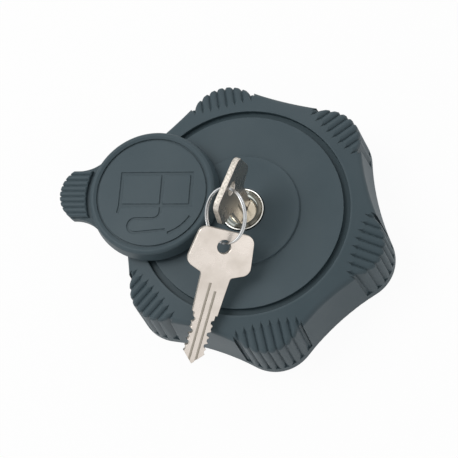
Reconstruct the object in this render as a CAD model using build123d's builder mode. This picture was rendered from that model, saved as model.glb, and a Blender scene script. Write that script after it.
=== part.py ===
from build123d import *
import math
import os

os.makedirs("parts", exist_ok=True)

# Fuel filler cap. Millimetres, +Z up. The origin is on the cap's axis, in the plane of
# the hood's lower rim. A lobe of the hood points along +X.

# Hood: a one-piece moulding with six lobes
hood_height = 27.6
lobe_count = 6
lobe_tip_radius = 53.2
gap_radius = 46.4
gap_arc_radius = 95.0
wall_draft = 5.0
hood_wall = 2.5
plate_thickness = 3.0
shoulder_radius = 38.6
shoulder_slope = 17.0
crease_fillet = 2.2
rim_fillet = 0.8
groove_outer_radius = 38.0
groove_inner_radius = 35.6
groove_depth = 1.9
disc_radius = 20.4
disc_height = 1.1

# Finger flutes: a row of parallel grooves over each lobe
flute_count = 8
flute_pitch = 3.04
flute_depth = 1.0
flute_land = 0.24
flute_ramp = 1.9
flute_start = 40.9
flute_start_bow = 0.0062
flute_end_height = 4.2

# Lock: cylinder, plug and facing
lock_turn = 26.4
plug_radius = 4.8
plug_clearance = 0.06
plug_face_height = -0.6
plug_end = 11.0
housing_radius = 7.0
housing_clearance = 0.1
housing_end = 11.4
bezel_radius = 7.7
bezel_height = 1.7
bezel_depth = 1.0
bezel_gap = 0.3
lock_boss_radius = 10.5
lock_boss_end = 13.0
tail_radius = 2.6
tail_flat = 2.0
tail_end = 7.2
wafer_count = 6
wafer_thickness = 1.0
wafer_pitch = 2.1
wafer_width = 5.4
wafer_clearance = 0.1
clip_thickness = 0.8
clip_outer_radius = 9.4
clip_clearance = 0.05
o_ring_section = 0.5

# Cam and bolt
cam_radius = 11.5
cam_bottom = 8.6
cam_thickness = 2.2
cam_throw = 3.5
cam_turn = 90.0
follower_place = 9.0
follower_radius = 1.2
follower_clearance = 0.05
bolt_width = 10.0
bolt_bottom = 4.9
bolt_thickness = 2.7
bolt_back = 7.5
bolt_reach = 3.3
bolt_clearance = 0.15
e_clip_thickness = 0.6
e_clip_radius = 3.4
e_clip_height = 7.9

# Closure: the moulded cup that locks into the filler neck
spigot_radius = 29.0
spigot_wall = 2.5
flange_reach = 8.0
flange_bottom = 15.0
flange_thickness = 3.0
floor_bottom = 1.0
floor_thickness = 2.6
lug_reach = 3.6
lug_angle = 28.0
lug_bottom = 1.2
lug_height = 4.0
gasket_clearance = 0.4
gasket_width = 6.1
gasket_thickness = 2.0
post_circle = 21.5
post_radius = 3.5
post_joint = 10.0
screw_radius = 1.45
screw_head_radius = 2.8
screw_head_height = 1.5
screw_clearance = 0.25
thread_clearance = 0.05
screw_length = 16.0
rib_thickness = 2.0
rib_reach = 7.0
guide_thickness = 1.5
flange_radius = spigot_radius + flange_reach
lug_radius = spigot_radius + lug_reach
gasket_inner_radius = spigot_radius + gasket_clearance
gasket_outer_radius = gasket_inner_radius + gasket_width
bolt_tip = spigot_radius + bolt_reach
rib_outer_radius = spigot_radius + rib_reach

# Relief valve in the closure's floor
valve_circle = 18.0
valve_angle = 120.0
valve_hole_radius = 2.0
chamber_radius = 5.5
chamber_bore = 4.3
chamber_top = 12.5
seal_section = 0.6
seal_ring_radius = 3.0
valve_plate_radius = 3.9
valve_plate_thickness = 0.8
valve_stem_radius = 1.3
valve_stem_length = 2.4
valve_cap_thickness = 1.1
valve_cap_plug = 0.8
valve_cap_hole = 1.0
spring_radius = 2.5
spring_wire = 0.3
spring_turns = 3.5

# Dust flap over the lock, drawn in its open position
pivot_circle = 16.2
pivot_angle = 120.0
flap_direction = 135.5
flap_radius = 23.7
flap_bottom = 1.7
flap_bead_height = 7.8
flap_face_height = 7.2
flap_wall = 1.8
face_radius = 19.7
face_groove_width = 0.7
face_groove_depth = 0.5
tab_reach = 34.7
tab_end_radius = 10.6
tab_half_width = 9.1
tab_web_height = 5.0
tab_block_height = 6.7
tab_block_start = 24.6
tab_blend = 13.0
tab_groove_count = 8
tab_groove_pitch = 2.05
tab_groove_depth = 0.65
tab_groove_land = 0.2
pivot_boss_radius = 4.7
pivot_shank_radius = 2.0
pivot_clearance = 0.06
pivot_thread_radius = 1.5
pivot_head_radius = 3.4
pivot_head_height = 2.0
pivot_float = 0.05
washer_height = 0.8
washer_thickness = 0.4

# Fuel-pump figure on the flap
figure_depth = 0.35
figure_line = 1.2
figure_body_length = 26.8
figure_body_width = 13.1
figure_body_place = (-1.5, -1.15)
figure_divider = -3.7
hose_line = 0.9

# Keys: one in the lock, a spare on the ring
key_thickness = 2.0
key_top = 5.6
key_bow_top_half = 9.6
key_bow_half = 11.6
key_bow_bottom = -7.6
key_neck_top = -10.2
key_neck_half = 5.2
key_step = -23.9
key_step_half = 4.5
key_blade_half = 3.7
key_blade_end = -38.0
key_tip = -41.9
key_corner = 3.2
key_hole_radius = 2.4
key_cuts = (0.9, 0.3, 1.2, 0.6, 1.1, 0.4)
key_cut_width = 1.9
key_groove_width = 0.8
key_groove_starts = ((-1.2, -13.0), (1.2, -15.5))
key_groove_depth = 0.45
keyway_clearance = 0.15

# Split ring through both keys
ring_radius = 9.4
ring_wire_radius = 0.42
ring_turn_offset = 0.4
ring_seat = 0.7
ring_side_azimuth = 212.6
ring_normal_azimuth = 164.6
ring_normal_tilt = 50.4
ring_spare_angle = 190.0

# Hang of the spare key on the ring
spare_azimuth = -153.0
spare_pitch = 22.0
spare_roll = 34.0
spare_hole_offset = 1.1


def polar(radius, angle):
    """Point at a radius and an angle in degrees, in the plane of the rim."""
    return (radius * math.cos(math.radians(angle)), radius * math.sin(math.radians(angle)))


# Centres of the lobe arcs: each lobe arc meets its two gap arcs tangentially
gap_centre_distance = gap_radius + gap_arc_radius
half_lobe_step = 180.0 / lobe_count
centre_sum = lobe_tip_radius + gap_arc_radius
lobe_centre_distance = (centre_sum**2 - gap_centre_distance**2) / (
    2 * (centre_sum - gap_centre_distance * math.cos(math.radians(half_lobe_step)))
)
lobe_arc_radius = lobe_tip_radius - lobe_centre_distance
slope_ratio = math.tan(math.radians(shoulder_slope))
draft_ratio = math.tan(math.radians(wall_draft))


def lobed_outline(inset):
    """Outline of the hood at its rim, moved inwards by the inset."""
    lobe_radius = lobe_arc_radius - inset
    with BuildSketch() as outline:
        with BuildLine():
            for k in range(lobe_count):
                angle = 2 * half_lobe_step * k
                lobe_centre = Vector(*polar(lobe_centre_distance, angle))
                next_lobe = Vector(*polar(lobe_centre_distance, angle + 2 * half_lobe_step))
                gap_before = Vector(*polar(gap_centre_distance, angle - half_lobe_step))
                gap_after = Vector(*polar(gap_centre_distance, angle + half_lobe_step))
                start = lobe_centre + (gap_before - lobe_centre).normalized() * lobe_radius
                end = lobe_centre + (gap_after - lobe_centre).normalized() * lobe_radius
                following = next_lobe + (gap_after - next_lobe).normalized() * lobe_radius
                ThreePointArc(start, Vector(*polar(lobe_tip_radius - inset, angle)), end)
                middle = Vector(*polar(gap_radius - inset, angle + half_lobe_step))
                ThreePointArc(end, middle, following)
        make_face()
    return outline.sketch


def lobed_block(inset, top):
    """Drafted lobed block whose flat top falls away as a shallow cone."""
    reach = lobe_tip_radius + 5
    with BuildPart() as block:
        with BuildSketch():
            add(lobed_outline(inset))
        extrude(amount=top, taper=wall_draft)
        with BuildSketch(Plane.XZ):
            with BuildLine():
                Polyline(
                    (0, 0),
                    (reach, 0),
                    (reach, top - (reach - shoulder_radius) * slope_ratio),
                    (shoulder_radius, top),
                    (0, top),
                    close=True,
                )
            make_face()
        revolve(axis=Axis.Z, mode=Mode.INTERSECT)
    return block.part


def crease(side):
    """Distance along the lobe and height where the cone meets the wall, at a side step."""
    height = hood_height
    for _ in range(6):
        arc = lobe_arc_radius - height * draft_ratio
        along = lobe_centre_distance + math.sqrt(arc**2 - side**2)
        height = hood_height - (math.hypot(along, side) - shoulder_radius) * slope_ratio
    return along, height


def wall_reach(side, height):
    """Distance along the lobe to the drafted wall, at a side step and a height."""
    arc = lobe_arc_radius - height * draft_ratio
    return lobe_centre_distance + math.sqrt(arc**2 - side**2)


def shoulder_height(along, side):
    """Height of the conical shoulder, at a distance along the lobe and a side step."""
    return hood_height - (math.hypot(along, side) - shoulder_radius) * slope_ratio


def rib_cutter(plane, points, pitch, depth, land, tilt):
    """Cut between two rounded ribs, along straight runs in a plane, with mitred joints.

    The runs follow the crests, and the tilt is how far the surface falls away sideways.
    """
    rib_radius = (pitch**2 / 4 + depth**2) / (2 * depth)
    half = (pitch - land) / 2
    rows = []
    for across in (-half, -half / 2, half / 2, half):
        drop = rib_radius - math.sqrt(rib_radius**2 - (pitch / 2 - abs(across)) ** 2)
        rows.append((across, drop + tilt * across))
    clear = depth + 0.8
    with BuildPart() as cutter:
        with BuildLine(plane) as path:
            Polyline(*points)
        start = Plane(origin=path.line @ 0, x_dir=plane.z_dir, z_dir=path.line % 0)
        with BuildSketch(start):
            with BuildLine():
                ThreePointArc(rows[0], rows[1], (0, depth))
                ThreePointArc((0, depth), rows[2], rows[3])
                Polyline(
                    rows[3],
                    (half, tilt * half - clear),
                    (-half, -tilt * half - clear),
                    rows[0],
                )
            make_face()
        sweep(path=path.line, transition=Transition.RIGHT)
    return cutter.part


def past(start, end, extra):
    """Point beyond the end of a run, by a distance."""
    run = (Vector(*end) - Vector(*start)).normalized()
    point = Vector(*end) + run * extra
    return (point.X, point.Y)


with BuildPart() as lobe_flutes:
    for j in range(flute_count):
        side = (j - (flute_count - 1) / 2) * flute_pitch
        begin = flute_start + flute_start_bow * side**2
        ramp_end = begin + flute_ramp
        corner = crease(side)
        above = (begin, shoulder_height(begin, side) + flute_depth + 0.1)
        down = (ramp_end, shoulder_height(ramp_end, side))
        foot = (wall_reach(side, flute_end_height), flute_end_height)
        shoulder_tilt = -slope_ratio * side / math.hypot(corner[0], side)
        wall_tilt = -side / (wall_reach(side, hood_height / 2) - lobe_centre_distance)
        # The crease is rounded, so a third cut crosses the corner along the fillet
        shoulder_run = (Vector(*corner) - Vector(*down)).normalized()
        wall_run = (Vector(*foot) - Vector(*corner)).normalized()
        crossing = (shoulder_run + wall_run).normalized()
        inward = (wall_run - shoulder_run).normalized()
        half_turn = shoulder_run.get_angle(wall_run) / 2
        fillet_gap = crease_fillet * (1 / math.cos(math.radians(half_turn)) - 1)
        middle = Vector(*corner) + inward * fillet_gap
        cross_start = middle - crossing * 2 * crease_fillet
        cross_end = middle + crossing * 2 * crease_fillet
        flute_plane = Plane(origin=(0, side, 0), x_dir=(1, 0, 0), z_dir=(0, -1, 0))
        size = (flute_pitch, flute_depth, flute_land)
        outer = past(down, corner, 3)
        upper = past(foot, corner, 3)
        cross_points = [(cross_start.X, cross_start.Y), (cross_end.X, cross_end.Y)]
        mean_tilt = (shoulder_tilt + wall_tilt) / 2
        add(rib_cutter(flute_plane, (above, down, outer), *size, shoulder_tilt))
        add(rib_cutter(flute_plane, cross_points, *size, mean_tilt))
        add(rib_cutter(flute_plane, (upper, foot), *size, wall_tilt))

cavity_top = hood_height - plate_thickness
disc_top = hood_height + disc_height
pivot_point = polar(pivot_circle, pivot_angle)
post_angles = [180.0 - 360.0 / 3 * k for k in range(3)]
rib_angles = [half_lobe_step + 2 * half_lobe_step * k for k in range(lobe_count)]
flange_top = flange_bottom + flange_thickness
bezel_seat = hood_height - bezel_depth - clip_clearance

with BuildPart() as hood:
    add(lobed_block(0, hood_height))
    crease_edges = hood.edges().filter_by(
        lambda e: math.hypot(e.center().X, e.center().Y) > shoulder_radius
        and hood_height - 7 < e.center().Z < hood_height - 1
    )
    fillet(crease_edges, crease_fillet)
    fillet(hood.faces().sort_by(Axis.Z)[0].edges(), rim_fillet)
    with PolarLocations(0, lobe_count):
        add(lobe_flutes.part, mode=Mode.SUBTRACT)
    add(lobed_block(hood_wall, cavity_top), mode=Mode.SUBTRACT)
    # Ring groove and raised disc on the plate
    with BuildSketch(Plane.XY.offset(hood_height)):
        Circle(groove_outer_radius)
        Circle(groove_inner_radius, mode=Mode.SUBTRACT)
    extrude(amount=-groove_depth, mode=Mode.SUBTRACT)
    with BuildSketch(Plane.XY.offset(cavity_top)):
        Circle(disc_radius)
    extrude(amount=disc_top - cavity_top)
    fillet(hood.faces().sort_by(Axis.Z)[-1].edges(), disc_height / 2)
    # Lock boss, ribs and screw bosses under the plate
    with BuildSketch(Plane.XY.offset(lock_boss_end)):
        Circle(lock_boss_radius)
    extrude(amount=cavity_top - lock_boss_end)
    with BuildSketch(Plane.XY.offset(flange_top)):
        for angle in rib_angles:
            middle = (lock_boss_radius + rib_outer_radius) / 2
            with Locations(Location((*polar(middle, angle), 0), angle)):
                Rectangle(rib_outer_radius - lock_boss_radius + 1, rib_thickness)
    extrude(amount=cavity_top - flange_top)
    with BuildSketch(Plane.XY.offset(post_joint)):
        with PolarLocations(post_circle, 3, start_angle=post_angles[0]):
            Circle(post_radius)
    extrude(amount=cavity_top - post_joint)
    with BuildSketch(Plane.XY.offset(post_joint)):
        with PolarLocations(post_circle, 3, start_angle=post_angles[0]):
            Circle(screw_radius + thread_clearance)
    extrude(amount=screw_length - 6, mode=Mode.SUBTRACT)
    # Bore for the lock, seat for its facing, and the flap's pivot hole
    with BuildSketch(Plane.XY.offset(lock_boss_end)):
        Circle(housing_radius + housing_clearance)
    extrude(amount=disc_top - lock_boss_end, mode=Mode.SUBTRACT)
    with BuildSketch(Plane.XY.offset(bezel_seat)):
        Circle(bezel_radius + bezel_gap)
    extrude(amount=disc_top - bezel_seat, mode=Mode.SUBTRACT)
    with BuildSketch(Plane.XY.offset(cavity_top)):
        with Locations(pivot_point):
            Circle(pivot_shank_radius + pivot_clearance)
    extrude(amount=disc_top - cavity_top, mode=Mode.SUBTRACT)

# Facing of the lock: a pressed ring with a polished lip and a dished face
with BuildPart() as lock_bezel:
    lip = 0.25
    hole = plug_radius + 2 * plug_clearance
    with BuildSketch(Plane.XZ.offset(0)):
        with BuildLine():
            Polyline(
                (hole, hood_height - 0.4),
                (bezel_radius - 0.6, hood_height - 0.4),
                (bezel_radius - 0.6, hood_height - bezel_depth),
                (bezel_radius, hood_height - bezel_depth),
                (bezel_radius, hood_height + bezel_height - lip),
            )
            ThreePointArc(
                (bezel_radius, hood_height + bezel_height - lip),
                (bezel_radius - lip, hood_height + bezel_height),
                (bezel_radius - 2 * lip, hood_height + bezel_height - lip),
            )
            ThreePointArc(
                (bezel_radius - 2 * lip, hood_height + bezel_height - lip),
                (bezel_radius - 1.2, hood_height + 0.55),
                (hole, hood_height + 0.2),
            )
            Line((hole, hood_height + 0.2), (hole, hood_height - 0.4))
        make_face()
    revolve(axis=Axis.Z)

lock_plane = Plane.XY.rotated((0, 0, lock_turn))
plug_top = hood_height + plug_face_height
o_ring_height = cavity_top - 1.5
clip_groove_top = lock_boss_end
clip_groove_radius = housing_radius - 0.8
groove_floor_radius = housing_radius + housing_clearance - 2 * o_ring_section - clip_clearance
housing_top = hood_height - 0.4 - clip_clearance

with BuildPart() as lock_housing:
    with BuildSketch(Plane.XY.offset(housing_end)):
        Circle(housing_radius)
    extrude(amount=bezel_seat - housing_end)
    with BuildSketch(Plane.XY.offset(bezel_seat)):
        Circle(bezel_radius - 0.6 - clip_clearance)
    extrude(amount=housing_top - bezel_seat)
    with BuildSketch(Plane.XY.offset(housing_end)):
        Circle(plug_radius + plug_clearance)
    extrude(amount=housing_top - housing_end, mode=Mode.SUBTRACT)
    # Groove for the retaining clip, and a second one for the sealing ring
    with BuildSketch(Plane.XY.offset(clip_groove_top)):
        Circle(housing_radius + 1)
        Circle(clip_groove_radius, mode=Mode.SUBTRACT)
    extrude(amount=-clip_thickness - 2 * clip_clearance, mode=Mode.SUBTRACT)
    with BuildSketch(Plane.XY.offset(o_ring_height - o_ring_section - clip_clearance)):
        Circle(housing_radius + 1)
        Circle(groove_floor_radius, mode=Mode.SUBTRACT)
    extrude(amount=2 * (o_ring_section + clip_clearance), mode=Mode.SUBTRACT)
    # Two broached slots that the wafers spring into when the key is out
    with BuildSketch(lock_plane.offset(housing_end)):
        Rectangle(2 * (housing_radius - 1.1), wafer_width)
    extrude(amount=wafer_count * wafer_pitch + 2.4, mode=Mode.SUBTRACT)

with BuildPart() as lock_o_ring:
    with BuildSketch(Plane.XZ):
        with Locations((groove_floor_radius + clip_clearance / 2 + o_ring_section, o_ring_height)):
            Circle(o_ring_section)
    revolve(axis=Axis.Z)

with BuildPart() as lock_retaining_clip:
    with BuildSketch(Plane.XY.offset(clip_groove_top - clip_clearance)):
        Circle(clip_outer_radius)
        Circle(clip_groove_radius + clip_clearance, mode=Mode.SUBTRACT)
        with Locations((0, -clip_outer_radius)):
            Rectangle(1.6 * clip_groove_radius, 2 * clip_outer_radius, mode=Mode.SUBTRACT)
    extrude(amount=-clip_thickness)

wafer_levels = [plug_end + 2.2 + wafer_pitch * k for k in range(wafer_count)]
keyway_length = 2 * (key_blade_half + keyway_clearance)
keyway_width = key_thickness + 2 * keyway_clearance
key_hole_height = plug_top - key_step + 0.05
keyway_bottom = key_hole_height + key_tip - 0.5

with BuildPart() as lock_plug:
    with BuildSketch(Plane.XY.offset(plug_end)):
        Circle(plug_radius)
    extrude(amount=plug_top - plug_end)
    chamfer(lock_plug.faces().sort_by(Axis.Z)[-1].edges(), 0.3)
    with BuildSketch(Plane.XY.offset(tail_end)):
        Circle(tail_radius)
        Rectangle(2 * tail_radius, 2 * tail_flat, mode=Mode.INTERSECT)
    extrude(amount=plug_end - tail_end)
    with BuildSketch(Plane.XY.offset(e_clip_height - clip_clearance)):
        Circle(tail_radius + 1)
        Circle(tail_flat - 0.2, mode=Mode.SUBTRACT)
    extrude(amount=e_clip_thickness + 2 * clip_clearance, mode=Mode.SUBTRACT)
    with BuildSketch(lock_plane.offset(plug_top)):
        Rectangle(keyway_length, keyway_width)
    extrude(amount=keyway_bottom - plug_top, mode=Mode.SUBTRACT)
    for level in wafer_levels:
        with BuildSketch(lock_plane.offset(level - wafer_clearance)):
            Rectangle(2 * plug_radius + 2, wafer_width + 2 * wafer_clearance)
        extrude(amount=wafer_thickness + 2 * wafer_clearance, mode=Mode.SUBTRACT)

with BuildPart() as wafer_tumblers:
    for level in wafer_levels:
        with BuildSketch(lock_plane.offset(level)):
            Circle(plug_radius - wafer_clearance)
            Rectangle(2 * plug_radius, wafer_width, mode=Mode.INTERSECT)
            Rectangle(keyway_length, keyway_width, mode=Mode.SUBTRACT)
        extrude(amount=wafer_thickness)

# Cam disc: its spiral slot moves the bolt by equal steps for equal turns
spiral_steps = 9
spiral_points = [
    polar(follower_place - cam_throw * k / spiral_steps, -cam_turn * k / spiral_steps)
    for k in range(spiral_steps + 1)
]
slot_half = follower_radius + follower_clearance

with BuildPart() as lock_cam:
    with BuildSketch(Plane.XY.offset(cam_bottom)):
        Circle(cam_radius)
        with BuildLine(mode=Mode.PRIVATE) as spiral:
            Spline(*spiral_points)
        trace(spiral.line, line_width=2 * slot_half, mode=Mode.SUBTRACT)
        with Locations(spiral_points[0], spiral_points[-1]):
            Circle(slot_half, mode=Mode.SUBTRACT)
    extrude(amount=cam_thickness)
    with BuildSketch(Plane.XY.offset(cam_bottom)):
        Circle(tail_radius + clip_clearance)
        Rectangle(
            2 * tail_radius + 1, 2 * (tail_flat + clip_clearance), mode=Mode.INTERSECT
        )
    extrude(amount=cam_thickness, mode=Mode.SUBTRACT)

with BuildPart() as cam_e_clip:
    with BuildSketch(Plane.XY.offset(e_clip_height)):
        Circle(e_clip_radius)
        Circle(tail_flat - 0.2 + clip_clearance, mode=Mode.SUBTRACT)
        with Locations((0, -e_clip_radius)):
            Rectangle(2 * tail_flat - 0.6, 2 * e_clip_radius, mode=Mode.SUBTRACT)
    extrude(amount=e_clip_thickness)

with BuildPart() as lock_bolt:
    with BuildSketch(Plane.XY.offset(bolt_bottom)):
        with Locations(((bolt_back + bolt_tip) / 2, 0)):
            Rectangle(bolt_tip - bolt_back, bolt_width)
    extrude(amount=bolt_thickness)
    nose = lock_bolt.faces().sort_by(Axis.X)[-1].edges().sort_by(Axis.Z)[0]
    chamfer(nose, bolt_thickness / 2)
    with BuildSketch(Plane.XY.offset(bolt_bottom + bolt_thickness)):
        with Locations((follower_place, 0)):
            Circle(follower_radius)
    extrude(amount=cam_bottom + cam_thickness - 0.4 - bolt_bottom - bolt_thickness)

floor_top = floor_bottom + floor_thickness
cup_radius = spigot_radius - spigot_wall
valve_point = polar(valve_circle, valve_angle)
screw_seat = floor_bottom + screw_head_height + 0.3

with BuildPart() as closure_body:
    with BuildSketch(Plane.XZ):
        with BuildLine():
            Polyline(
                (0, floor_bottom),
                (cup_radius, floor_bottom),
                (cup_radius, 0),
                (spigot_radius, 0),
                (spigot_radius, flange_bottom),
                (flange_radius, flange_bottom),
                (flange_radius, flange_top),
                (cup_radius, flange_top),
                (cup_radius, floor_top),
                (0, floor_top),
                close=True,
            )
        make_face()
    revolve(axis=Axis.Z)
    # Bayonet lugs, with a lead-in at one end of each
    with BuildSketch(Plane.XY.offset(lug_bottom)):
        for middle in (90, -90):
            with BuildLine():
                first = polar(spigot_radius - 0.2, middle - lug_angle / 2)
                last = polar(spigot_radius - 0.2, middle + lug_angle / 2)
                far_first = polar(lug_radius, middle - lug_angle / 2 + 1)
                far_last = polar(lug_radius, middle + lug_angle / 2 - 4)
                Line(first, far_first)
                ThreePointArc(far_first, polar(lug_radius, middle), far_last)
                Line(far_last, last)
                ThreePointArc(last, polar(spigot_radius - 0.2, middle), first)
            make_face()
    extrude(amount=lug_height)
    # Posts for the screws, the valve chamber and the guides of the bolt
    with BuildSketch(Plane.XY.offset(floor_top)):
        with PolarLocations(post_circle, 3, start_angle=post_angles[0]):
            Circle(post_radius)
    extrude(amount=post_joint - floor_top)
    with BuildSketch(Plane.XY.offset(floor_top)):
        with Locations(valve_point):
            Circle(chamber_radius)
            Circle(chamber_bore, mode=Mode.SUBTRACT)
    extrude(amount=chamber_top - floor_top)
    guide_start = bolt_back - cam_throw
    with BuildSketch(Plane.XY.offset(floor_top)):
        guide_side = bolt_width / 2 + bolt_clearance + guide_thickness / 2
        with Locations(
            ((guide_start + cup_radius) / 2, guide_side),
            ((guide_start + cup_radius) / 2, -guide_side),
        ):
            Rectangle(cup_radius - guide_start, guide_thickness)
    extrude(amount=bolt_bottom + bolt_thickness - floor_top)
    with BuildSketch(Plane.XY.offset(floor_top)):
        with Locations(((guide_start + cup_radius) / 2, 0)):
            Rectangle(cup_radius - guide_start, bolt_width + 2 * bolt_clearance)
    extrude(amount=bolt_bottom - bolt_clearance - floor_top)
    # Slot for the bolt, screw holes and the vent hole
    with BuildSketch(Plane.XY.offset(bolt_bottom - bolt_clearance)):
        with Locations((spigot_radius, 0)):
            Rectangle(3 * spigot_wall, bolt_width + 2 * bolt_clearance)
    extrude(amount=bolt_thickness + 2 * bolt_clearance, mode=Mode.SUBTRACT)
    with BuildSketch(Plane.XY.offset(floor_bottom)):
        with PolarLocations(post_circle, 3, start_angle=post_angles[0]):
            Circle(screw_radius + screw_clearance)
    extrude(amount=post_joint - floor_bottom, mode=Mode.SUBTRACT)
    with BuildSketch(Plane.XY.offset(floor_bottom)):
        with PolarLocations(post_circle, 3, start_angle=post_angles[0]):
            Circle(screw_head_radius + screw_clearance)
    extrude(amount=screw_seat - floor_bottom, mode=Mode.SUBTRACT)
    with BuildSketch(Plane.XY.offset(floor_bottom)):
        with Locations(valve_point):
            Circle(valve_hole_radius)
    extrude(amount=floor_thickness, mode=Mode.SUBTRACT)

with BuildPart() as neck_gasket:
    with BuildSketch(Plane.XY.offset(flange_bottom)):
        Circle(gasket_outer_radius)
        Circle(gasket_inner_radius, mode=Mode.SUBTRACT)
    extrude(amount=-gasket_thickness)

with BuildPart() as closure_screws:
    with BuildSketch(Plane.XY.offset(screw_seat - screw_head_height)):
        with PolarLocations(post_circle, 3, start_angle=post_angles[0]):
            Circle(screw_head_radius)
    extrude(amount=screw_head_height)
    with BuildSketch(Plane.XY.offset(screw_seat)):
        with PolarLocations(post_circle, 3, start_angle=post_angles[0]):
            Circle(screw_radius)
    extrude(amount=screw_length)
    with BuildSketch(Plane.XY.offset(screw_seat - screw_head_height)):
        with PolarLocations(post_circle, 3, start_angle=post_angles[0]):
            Rectangle(3.2, 0.7)
            Rectangle(0.7, 3.2)
    extrude(amount=0.9, mode=Mode.SUBTRACT)

seal_top = floor_top + 2 * seal_section
plate_top = seal_top + valve_plate_thickness
cap_plug_bottom = chamber_top - valve_cap_plug

with BuildPart() as valve_seal:
    with BuildSketch(Plane.XZ.offset(-valve_point[1])):
        with Locations((valve_point[0] + seal_ring_radius, floor_top + seal_section)):
            Circle(seal_section)
    revolve(axis=Axis((*valve_point, 0), (0, 0, 1)))

with BuildPart() as valve_disc:
    with BuildSketch(Plane.XY.offset(seal_top)):
        with Locations(valve_point):
            Circle(valve_plate_radius)
    extrude(amount=valve_plate_thickness)
    with BuildSketch(Plane.XY.offset(plate_top)):
        with Locations(valve_point):
            Circle(valve_stem_radius)
    extrude(amount=valve_stem_length)

with BuildPart() as valve_spring:
    coil_bottom = plate_top + spring_wire + pivot_float
    coil_height = cap_plug_bottom - spring_wire - pivot_float - coil_bottom
    with BuildLine():
        coil = Helix(
            pitch=coil_height / spring_turns,
            height=coil_height,
            radius=spring_radius,
            center=(*valve_point, coil_bottom),
        )
    with BuildSketch(Plane(origin=coil @ 0, z_dir=coil % 0)):
        RegularPolygon(spring_wire, 6)
    sweep(path=coil, is_frenet=True)

with BuildPart() as valve_cap:
    with BuildSketch(Plane.XY.offset(chamber_top)):
        with Locations(valve_point):
            Circle(chamber_radius)
    extrude(amount=valve_cap_thickness)
    with BuildSketch(Plane.XY.offset(chamber_top)):
        with Locations(valve_point):
            Circle(chamber_bore - clip_clearance)
    extrude(amount=-valve_cap_plug)
    with BuildSketch(Plane.XY.offset(cap_plug_bottom)):
        with Locations(valve_point):
            Circle(valve_cap_hole)
    extrude(amount=valve_cap_thickness + valve_cap_plug, mode=Mode.SUBTRACT)

# Dust flap. Its own frame has X along the thumb tab and Z up, with its origin at the
# middle of the flap at plate height.
flap_out = polar(1, flap_direction)
flap_centre = (
    pivot_point[0] + pivot_circle * flap_out[0],
    pivot_point[1] + pivot_circle * flap_out[1],
)
flap_plane = Plane(origin=(*flap_centre, hood_height), x_dir=(*flap_out, 0), z_dir=(0, 0, 1))
flap_section = Plane(
    origin=(*flap_centre, hood_height),
    x_dir=(*flap_out, 0),
    z_dir=(flap_out[1], -flap_out[0], 0),
)
flap_axis = Axis((*flap_centre, 0), (0, 0, 1))
cavity_radius = flap_radius - flap_wall - 0.7
cavity_height = flap_face_height - flap_wall
groove_end = face_radius + face_groove_width
tab_end_centre = tab_reach - tab_end_radius

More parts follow.
